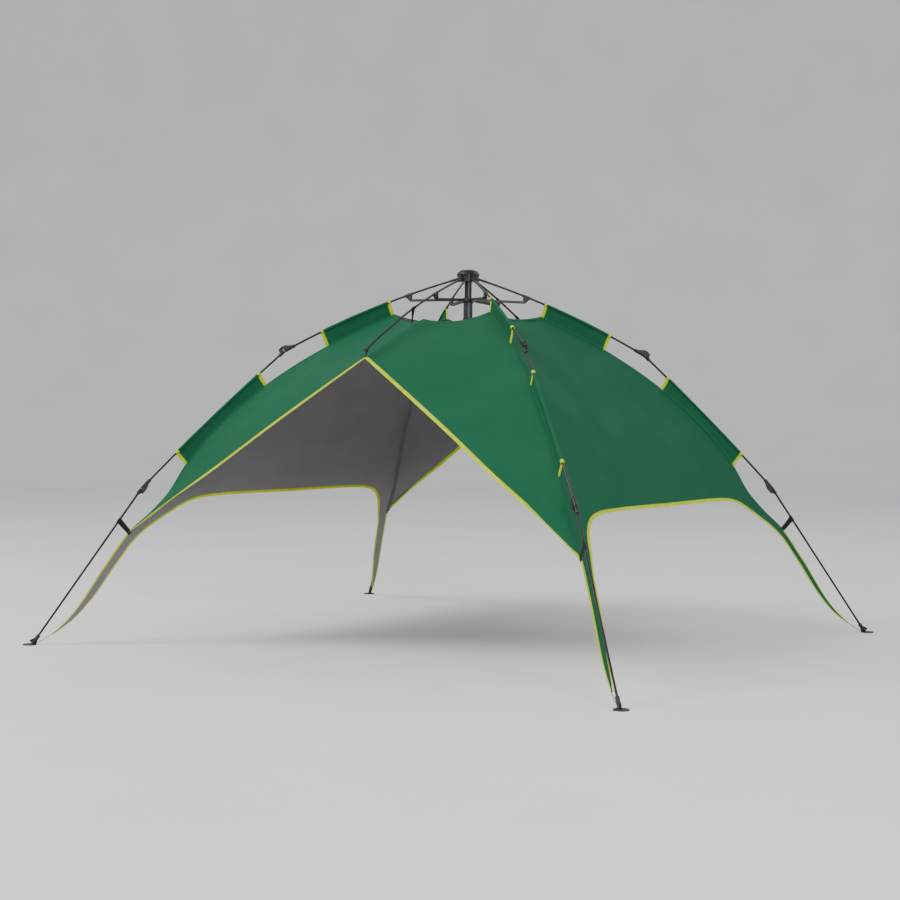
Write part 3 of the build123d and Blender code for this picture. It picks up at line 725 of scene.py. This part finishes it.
def slab(name, grid, normals, half, material, uv_of):
    """A closed sheet of thickness 2 * half on a grid of points; normals has one per row."""
    rows, columns = len(grid), len(grid[0])
    count = rows * columns
    upper_side = [Vector(p) + Vector(n) * half for row, n in zip(grid, normals) for p in row]
    lower_side = [Vector(p) - Vector(n) * half for row, n in zip(grid, normals) for p in row]
    faces = []
    for i in range(rows - 1):
        for j in range(columns - 1):
            a = i * columns + j
            faces.append([a, a + 1, a + columns + 1, a + columns])
            faces.append([a + count, a + columns + count, a + columns + 1 + count, a + 1 + count])
    smooth_faces = [True] * len(faces)
    rim = list(range(columns)) + [i * columns + columns - 1 for i in range(1, rows)]
    rim += [(rows - 1) * columns + j for j in range(columns - 2, -1, -1)]
    rim += [i * columns for i in range(rows - 2, 0, -1)]
    for a, b in zip(rim, rim[1:] + rim[:1]):
        faces.append([b, a, a + count, b + count])
        smooth_faces.append(False)
    uv = [uv_of(i, j) for i in range(rows) for j in range(columns)] * 2
    obj = new_piece(name, upper_side + lower_side, faces, [material], None, smooth_faces, uv)
    face_outwards(obj)
    return obj


def ring_frame(path):
    """Two directions square to each point of a path, turning as little as possible."""
    firsts, seconds = [], []
    last = Vector((0, 0, 1))
    for k in range(len(path)):
        along = direction(path, k)
        if k == 0 and abs(along.dot(last)) > 0.9:
            last = Vector((1, 0, 0))
        last = (last - along * last.dot(along)).normalized()
        firsts.append(last.copy())
        seconds.append(along.cross(last))
    return firsts, seconds


def cord(name, path, radius, body, sides=10):
    """A round cord along a path."""
    turns = [2 * math.pi * k / sides for k in range(sides)]
    section = [(radius * math.cos(turn), radius * math.sin(turn)) for turn in turns]
    obj = sweep(name, path, *ring_frame(path), section, cord_black, "cord")
    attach(obj, body)
    return obj


def hollow(name, path, outer, inner, material, body, wrinkle=0.0):
    """An open-ended sleeve around a path, with a wall from inner to outer."""
    sides = 20
    firsts, seconds = ring_frame(path)
    at = lengths(np.array([tuple(p) for p in path]))
    points, uv, faces = [], [], []
    for radius in (outer, inner):
        for k, (p, a, b) in enumerate(zip(path, firsts, seconds)):
            for s in range(sides):
                turn = 2 * math.pi * s / sides
                where = Vector((at[k] * 45, math.cos(turn) * 1.3, math.sin(turn) * 1.3))
                r = radius + wrinkle * noise.noise(where)
                points.append(Vector(p) + a * (r * math.cos(turn)) + b * (r * math.sin(turn)))
                uv.append((at[k], turn * outer))
    n = len(path)
    shell = n * sides
    for i in range(n - 1):
        for s in range(sides):
            a, b = i * sides + s, i * sides + (s + 1) % sides
            faces.append([a, b, b + sides, a + sides])
            faces.append([a + shell, a + sides + shell, b + sides + shell, b + shell])
    for i in (0, n - 1):
        for s in range(sides):
            a, b = i * sides + s, i * sides + (s + 1) % sides
            faces.append([a, a + shell, b + shell, b])
    obj = new_piece(name, points, faces, [material], None, None, uv)
    face_outwards(obj)
    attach(obj, body)


# -------------------------------------------------------------- the canopy
low_grid, tall_grid = low_half(), tall_half()
QUARTERS = {"front_right": (1, -1), "back_right": (1, 1), "back_left": (-1, 1), "front_left": (-1, -1)}
WALLS = {
    "front": ("tall", tall_grid, ("front_right", "front_left")),
    "back": ("tall", tall_grid, ("back_right", "back_left")),
    "right": ("low", low_grid, ("back_right", "front_right")),
    "left": ("low", low_grid, ("back_left", "front_left")),
}
HOLD_R = {"upper": 0.50, "middle": 1.05, "lower": 1.52, "ridge": 0.55}   # where each bunch is held
BUNCH_KEEP, STRIP_KEEP, FIN_KEEP = 0.05, 0.2, 0.15    # how much of the width is left when packed
bunches = {}                  # (wall, kind, part): how that piece of cloth is bunched


def hold_point(kind, part):
    line = np.array(RIDGE) if kind == "ridge" else seam
    return in_plane(part, HOLD_R[kind], at_radius(line, HOLD_R[kind]))


def pack(obj, kind, part, way, anchor, keep):
    """A piece goes with its rod: it is attached to the rod's body and gets a mesh of its own."""
    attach(obj, body_of(kind, part))
    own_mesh(obj)


def bunch(obj, name, kind, part):
    """A piece goes with the same rod as the cloth it is sewn to."""
    pack(obj, kind, part, *bunches[name, kind, part])


def widest(obj, along):
    """The direction square to a rod in which a piece is widest."""
    co = np.array([v.co for v in obj.data.vertices])
    co = co - co.mean(0)
    line = np.array(along)
    co -= np.outer(co @ line, line)
    return tuple(float(x) for x in np.linalg.eigh(co.T @ co)[1][:, -1])


LAID_FLAT = {                 # a point's place on a wall laid out flat
    "low": lambda p: (p.y, seam_place(p.z)),
    "tall": lambda p: (p.x, abs(p.y) * 0.5 - p.z * 0.87),
}


def canopy_wall(name, wall, half, legs):
    """One wall in pieces, cut where the frame folds."""
    bm = wall_mesh(half, [QUARTERS[leg] for leg in legs])
    for leg in legs:
        sx, sy = QUARTERS[leg]
        if wall == "tall":
            split = Vector((-math.sin(RIDGE_SPLIT) * sy, math.cos(RIDGE_SPLIT) * sx, 0))
            cut(bm, lambda c: c.x * sx > 0, Vector((0, 0, 0)), split)
        for plane in (PLANE_1, PLANE_2):
            cut(bm, lambda c: leg_of(c) == leg and part_of(c, wall)[0] != "ridge", *plane_3d(leg, plane))
    bm.normal_update()
    sorted_faces = {}
    for f in bm.faces:
        sorted_faces.setdefault(part_of(f.calc_center_median(), wall), []).append(f)
    for (kind, part), faces in sorted_faces.items():
        obj = cloth_piece(f"canopy_{name}_{kind}_{part}", faces, LAID_FLAT[wall])
        if wall == "low" and kind == "lower":
            rod = on_rod(lower_line, part, HOLD_R[kind])
            bunches[name, kind, part] = (rod_normal(kind, part), rod, STRIP_KEEP)
        else:
            way = widest(obj, chord_of(kind, part)[1])
            bunches[name, kind, part] = (way, hold_point(kind, part), BUNCH_KEEP)
        bunch(obj, name, kind, part)
        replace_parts(obj, f"canopy_{name}")
    bm.free()


def along_edge(path, toward, square=True):
    """For tape on an edge: directions into the cloth and out of it, at each point."""
    inward, normals = [], []
    for k, p in enumerate(path):
        along = direction(path, k)
        into = (toward[k] - p).normalized()
        if square:
            into = (into - along * into.dot(along)).normalized()
        inward.append(into)
        normals.append(along.cross(into).normalized())
    return inward, normals


def smoothed(values, rounds=6):
    for _ in range(rounds):
        middle = [(values[k - 1] + 2 * values[k] + values[k + 1]) / 4 for k in range(1, len(values) - 1)]
        values = values[:1] + middle + values[-1:]
    return values


def tape_width(p):
    """The tape gets narrower down the strip along a leg."""
    strip = np.interp(-p.z, [-z for z, w in STRIP_WIDTHS], [w for z, w in STRIP_WIDTHS])
    return min(1.0, float(strip) / 0.105) if p.z < STRIP_WIDTHS[0][0] + 0.12 else 1.0


def edge_tape(label, name, wall, path, toward, material):
    """Tape along an edge of a wall, split where the frame folds, each piece going with the same rod as the wall's
    cloth.
    """
    inward, normals = along_edge(path, toward)
    widths = smoothed([tape_width(p) for p in path])
    keys = [part_of((path[k] + path[k + 1]) / 2, wall) for k in range(len(path) - 1)]
    start = 0.0
    for (kind, part), first, last in groups(keys):
        span = slice(first, last + 2)
        if (name, kind, part) not in bunches:
            kind, part = keys[first - 1] if first > 0 else keys[last + 1]
        obj = sweep(f"{label}_{kind}_{part}_{first}", path[span], inward[span], normals[span], tape_section(),
                    material, "canopy_cloth", start, widths[span])
        start += sum((b - a).length for a, b in zip(path[span], path[span][1:]))
        bunch(obj, name, kind, part)


def both_quarters(line, legs):
    """One path over both quarters of a wall, from a quarter line that ends in the wall's middle."""
    first = [mirror(p, *QUARTERS[legs[0]]) for p in line]
    second = [mirror(p, *QUARTERS[legs[1]]) for p in reversed(line)]
    return first + second[1:]


for name, (wall, half, legs) in WALLS.items():
    canopy_wall(name, wall, half, legs)
    grid = half[0]
    if wall == "tall":
        peak_row = int(np.argmin(np.linalg.norm(grid[:, -1] - np.array(OPENING[0]), axis=1)))
        edge = grid[peak_row:, -1][::-1]
        toward = grid[peak_row:, -3][::-1].copy()
        toward[-1] = grid[max(peak_row - 3, 0), -1]
    else:
        first_row = int(np.argmax(grid[:, -1, 2] <= LOW_Z + 1e-6))
        edge = grid[first_row:, -1][::-1]
        toward = grid[first_row:, -3][::-1].copy()
    for label, line, inner, colour in (("binding", edge, toward, lime), ("hem", grid[0], grid[2], hem_green)):
        edge_tape(f"{label}_{name}", name, wall, both_quarters(line, legs), both_quarters(inner, legs), colour)
    if wall == "low":
        below = np.argmax(grid[:, 0, 2] <= STRAP_Z)
        for leg in legs:
            path, toward = ([mirror(p, *QUARTERS[leg]) for p in grid[below:, k]] for k in (0, 2))
            edge_tape(f"binding_seam_{leg}", name, wall, path, toward, lime)


# ------------------------------------------------ seams, fins, straps and cords
def rod_points(line, leg, first, last, count, drop=0.0):
    return [on_rod(line, leg, r, drop) for r in np.linspace(first, last, count)]


def fin(leg, label, kind, line, radii, feet):
    """A doubled strip of cloth from the rod's sleeve down to the seam, between two points of SEAM."""
    count, depth = 26, 8
    side = side_of(leg)
    top = rod_points(line, leg, *radii, count, drop=0.0052)
    places = np.linspace(seam_place(feet[0][1]), seam_place(feet[1][1]), count)
    foot = [in_plane(leg, r, z) for r, z in resample(seam, places)]
    along = (top[1] - top[0]).normalized()
    drawn_in = {0: 0.0012, count - 1: -0.0012}
    grid = []
    for k, (a, b) in enumerate(zip(top, foot)):
        row = []
        for j in range(depth + 1):
            share = j / depth
            p = a.lerp(b, share)
            wave = noise.noise(p * 14) * 0.003 * 4 * share * (1 - share)
            p = p + along * (drawn_in.get(k, 0.0) * math.sin(math.pi * share))
            row.append(p + side * wave)
        grid.append(row)
    rod = on_rod(line, leg, sum(radii) / 2)

    def flatten(obj):
        pack(obj, kind, leg, rod_normal(kind, leg), rod, FIN_KEEP)

    span = (top[0] - foot[0]).length
    web = slab(f"fin_{label}_{leg}", grid, [side] * count, FIN_HALF, fin_green,
               lambda i, j: ((top[i] - top[0]).length, span * j / depth))
    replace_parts(web, f"pole_sleeves_{label}")
    flatten(web)
    hollow(f"sleeve_{label}_{leg}", rod_points(line, leg, *radii, 40), ROD_R + SLEEVE_WALL, ROD_R + 0.0005,
           fin_green, body_of(kind, leg), wrinkle=0.0006)
    for place, k, step, rod_end in (("top", 0, 1, radii[0]), ("low", -1, -1, radii[1])):
        row, other = grid[k], grid[k + step]
        flatten(sweep(f"fin_binding_{label}_{place}_{leg}", row, *along_edge(row, other, square=False),
                      fin_section(), lime, "sleeve_cloth"))
        cuff = rod_points(line, leg, rod_end, rod_end + step * CUFF_LENGTH, 3)
        hollow(f"fin_cuff_{label}_{place}_{leg}", cuff, ROD_R + CUFF_WALL, ROD_R + 0.0008, lime,
               body_of(kind, leg))
    for face, out in (("left", side), ("right", -side)):
        stitched = []
        for row in grid:
            way = (row[-2] - row[-1]).normalized()
            stitched.append([row[-1] + way * up + out * (FIN_HALF + 0.0003) for up in (0.0015, 0.0045)])
        flatten(slab(f"fin_foot_{label}_{face}_{leg}", stitched, [side] * count, 0.0003, pale_green,
                     lambda i, j: ((foot[i] - foot[0]).length, 0.003 * j)))


def fin_section():
    """Lime tape round the end of a fin, thick enough for both layers of cloth."""
    w, h = BINDING_IN, FIN_HALF + 0.0009
    top = [(-0.0012, h * 0.3), (-0.0006, h * 0.85), (0.0012, h), (w - 0.0035, h * 1.02),
           (w - 0.0025, h * 0.85), (w - 0.0015, h), (w, h * 0.75)]
    return top + [(x, -y) for x, y in reversed(top)]


def seam_cover(leg):
    """Piping outside and grey tape inside along a leg's seam, split at the knees."""
    side_wall = "right" if "right" in leg else "left"
    side = side_of(leg)
    places = np.linspace(0, STRAP_PLACE, 110)
    points = [in_plane(leg, r, z) for r, z in resample(seam, places)]
    keys = [part_of((points[k] + points[k + 1]) / 2, "low")[0] for k in range(len(points) - 1)]
    turns = np.linspace(0, 2 * math.pi, 10, endpoint=False)
    piping = [(0.0013 * math.cos(a), 0.0013 * math.sin(a)) for a in turns]

    def into(rows, k):
        """The direction from the seam into a wall."""
        row = rows[np.argmin(np.abs(rows[:, 0, 2] - points[k].z))]
        along = direction(points, k)
        way = mirror(row[2], *QUARTERS[leg]) - mirror(row[0], *QUARTERS[leg])
        return (way - along * way.dot(along)).normalized()

    for kind, first, last in groups(keys):
        span = list(range(first, last + 2))
        outs = []
        for k in span:
            out = direction(points, k).cross(side)
            outs.append(out if out.z > 0 else -out)
        path = [points[k] + out * 0.0008 for k, out in zip(span, outs)]
        sides = [side] * len(span)
        ridge = sweep(f"seam_piping_{kind}_{leg}", path, sides, outs, piping, green, "canopy_cloth")
        bunch(ridge, side_wall, kind, leg)
        grid = []
        for k, out in zip(span, outs):
            a, b = into(low_grid[0], k), into(tall_grid[0], k)
            middle = points[k] - out * 0.0016
            grid.append([middle + a * 0.0080, middle + a * 0.0025, middle - out * 0.0003,
                         middle + b * 0.0025, middle + b * 0.0080])
        inside = slab(f"seam_tape_{kind}_{leg}", grid, outs, 0.0003, seam_grey,
                      lambda i, j: (places[min(first + i, len(places) - 1)], 0.004 * j))
        bunch(inside, side_wall, kind, leg)


def band(name, node, centre, sewn, along, widths, side, body, half):
    """Flat webbing from a loop round a rod down to where it is sewn on, widths wide at its ends."""
    rows = 14
    start = centre + (sewn - centre).normalized() * BAND_START
    grid = []
    for k in range(rows + 1):
        share = k / rows
        width = widths[0] + (widths[1] - widths[0]) * share
        grid.append([start.lerp(sewn, share) + along * (width * (j / 4 - 0.5)) for j in range(5)])
    length = (sewn - start).length
    flat = slab(name, grid, [side] * (rows + 1), half, black_webbing,
                lambda i, j: (length * i / rows, widths[0] * j / 4))
    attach(flat, body)
    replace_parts(flat, node)


def rod_loop(name, centre, along, width, body):
    ends = [centre + along * (width * (k / 6 - 0.5)) for k in range(7)]
    hollow(name, ends, ROD_R + LOOP_WALL, ROD_R + 0.0004, black_webbing, body, wrinkle=0.0003)


def leg_strap(leg):
    """The strap that ties the canopy's kink to the lower rod."""
    body = f"leg_lower_{leg}"
    along = chord_of("lower", leg)[1]
    centre = on_rod(lower_line, leg, STRAP_R)
    sewn = in_plane(leg, float(seam_radius(STRAP_Z)) - 0.006, STRAP_Z - 0.005)
    widths = (STRAP_WIDTH, STRAP_WIDTH * 0.8)
    band(f"leg_strap_{leg}", "leg_straps", centre, sewn, along, widths, side_of(leg), body, 0.0007)
    rod_loop(f"leg_strap_loop_{leg}", centre, along, STRAP_WIDTH, body)


def arm_band(arm):
    """Webbing from the short arm down to the canopy's ridge, tapering to a point."""
    body = f"arm_{arm}"
    along = chord_of("ridge", arm)[1]
    centre = on_rod(arm_line, arm, WEBBING_R)
    sewn = in_plane(arm, *WEBBING_FOOT)
    widths = (WEBBING_WIDTH, 0.003)
    band(f"arm_webbing_{arm}", "arm_webbing", centre, sewn, along, widths, side_of(arm), body, 0.0006)
    rod_loop(f"arm_webbing_loop_{arm}", centre, along, WEBBING_WIDTH, body)


def peak_loop(arm):
    """A cord loop through the hook's eye and the canopy's peak."""
    end = arm_line[-1]
    way = unit(end - arm_line[-4])
    up = np.array([-way[1], way[0]])
    eye = end + way * (ROD_END_GAP + HOOK_EYE[0]) + up * HOOK_EYE[1]
    peak = np.array([OPENING[0][1] - 0.002, OPENING[0][2] + 0.003])
    length = float(np.linalg.norm(peak - eye))
    down = (peak - eye) / length
    across = np.array([-down[1], down[0]])
    path = []
    for k in range(41):
        turn = 2 * math.pi * k / 40
        at = eye + down * (length * (0.5 - 0.5 * math.cos(turn))) + across * (0.0042 * math.sin(turn))
        path.append(in_plane(arm, *at))
    cord(f"peak_loop_{arm}", path, 0.0014, f"arm_{arm}")


def foot_cord(leg):
    """The thin cord from the cloth's tip to the foot, slightly slack."""
    tip = in_plane(leg, SEAM[-1][0] - 0.004, SEAM[-1][1] + 0.004)
    end = in_plane(leg, FOOT[0] - 0.012, 0.008)
    path = [tip.lerp(end, k / 12) - Vector((0, 0, 0.003 * math.sin(math.pi * k / 12))) for k in range(13)]
    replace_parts(cord(f"foot_cord_{leg}", path, 0.0012, f"leg_lower_{leg}", sides=8), "foot_cords")


for leg in LEGS:
    fin(leg, "upper", "upper", upper_line, FIN_UPPER, SEAM[0:2])
    fin(leg, "lower", "middle", middle_line, FIN_LOWER, SEAM[2:4])
    seam_cover(leg)
    leg_strap(leg)
    foot_cord(leg)
for arm in ARMS:
    arm_band(arm)
    peak_loop(arm)

for item in frame["record"]["subparts"]:
    if item["material_slot"] in FINISHES:
        mesh = frame["nodes"][item["node"]].data
        mesh.materials.clear()
        mesh.materials.append(FINISHES[item["material_slot"]])


# ------------------------------------------------------------------- the studio
MIDDLE_Z = 0.8                # the lights aim at this height


def bowl(radius, rise):
    """A pale floor that curves up into a backdrop all round."""
    profile = [(0.0, 0.0), (radius, 0.0)]
    for k in range(1, 13):
        a = math.radians(90 * k / 12)
        profile.append((radius + rise * math.sin(a), rise * (1 - math.cos(a))))
    profile.append((radius + rise, rise + 3.0))
    sides = 96
    points = [(0, 0, 0)]
    for r, z in profile[1:]:
        points += [(r * math.cos(2 * math.pi * s / sides), r * math.sin(2 * math.pi * s / sides), z)
                   for s in range(sides)]
    faces = [[0, 1 + s, 1 + (s + 1) % sides] for s in range(sides)]
    for ring in range(len(profile) - 2):
        for s in range(sides):
            a, b = 1 + ring * sides + s, 1 + ring * sides + (s + 1) % sides
            faces.append([a, a + sides, b + sides, b])
    paint = Shader("floor_pale", Roughness=0.9, Specular_IOR_Level=0.1)
    cloudy = paint.span(paint.noise(1.2), 0.3, 0.7, 0, 1)
    paint.set("Base Color", paint.mix(cloudy, (0.70, 0.69, 0.67), (0.74, 0.73, 0.71)))
    return new_piece("studio_floor", points, faces, [paint.material])


def area_light(name, place, size, power, colour=(1, 1, 1)):
    """A square soft light aimed at the middle of the shelter."""
    data = bpy.data.lights.new(name, "AREA")
    data.shape, data.size, data.energy, data.color = "SQUARE", size, power, colour
    light = bpy.data.objects.new(name, data)
    bpy.context.scene.collection.objects.link(light)
    light.location = place
    light.rotation_euler = (Vector((0, 0, MIDDLE_Z)) - Vector(place)).to_track_quat("-Z", "Y").to_euler()
    return light


world = bpy.data.worlds.new("studio_world")
bpy.context.scene.world = world
world.use_nodes = True
background = world.node_tree.nodes["Background"]
background.inputs["Color"].default_value = (0.86, 0.90, 0.96, 1)
background.inputs["Strength"].default_value = 0.9
bowl(13.0, 6.0)
area_light("key_light", (-5.0, -5.5, 7.5), 5.0, 900.0, (1.0, 0.98, 0.95))
area_light("fill_light", (6.0, -5.0, 3.6), 4.0, 300.0)
area_light("back_light", (5.0, 6.0, 6.5), 5.0, 160.0)


# ------------------------------------------------------------------- the camera
CAMERA_TURN = math.radians(32.02)    # round from the front, towards the right
CAMERA_REACH = 7.393
CAMERA_HEIGHT = 0.986
CAMERA_PITCH = math.radians(1.373)
CAMERA_ROLL = math.radians(0.437)
CAMERA_LENS = 69.08                  # millimetres
CAMERA_SHIFT = -0.0188

place = Vector((CAMERA_REACH * math.sin(CAMERA_TURN), -CAMERA_REACH * math.cos(CAMERA_TURN), CAMERA_HEIGHT))
ahead = Vector((-math.sin(CAMERA_TURN), math.cos(CAMERA_TURN), -math.tan(CAMERA_PITCH))).normalized()
right = ahead.cross(Vector((0, 0, 1))).normalized()
over = right.cross(ahead)
rolled_right = right * math.cos(CAMERA_ROLL) + over * math.sin(CAMERA_ROLL)
rolled_up = over * math.cos(CAMERA_ROLL) - right * math.sin(CAMERA_ROLL)
lens = bpy.data.cameras.new("camera")
lens.lens = CAMERA_LENS
lens.shift_x = CAMERA_SHIFT
lens.clip_end = 100.0
camera = bpy.data.objects.new("camera", lens)
bpy.context.scene.collection.objects.link(camera)
turn = Matrix((rolled_right, rolled_up, -ahead)).transposed().to_4x4()
camera.matrix_world = Matrix.Translation(place) @ turn
bpy.context.scene.camera = camera
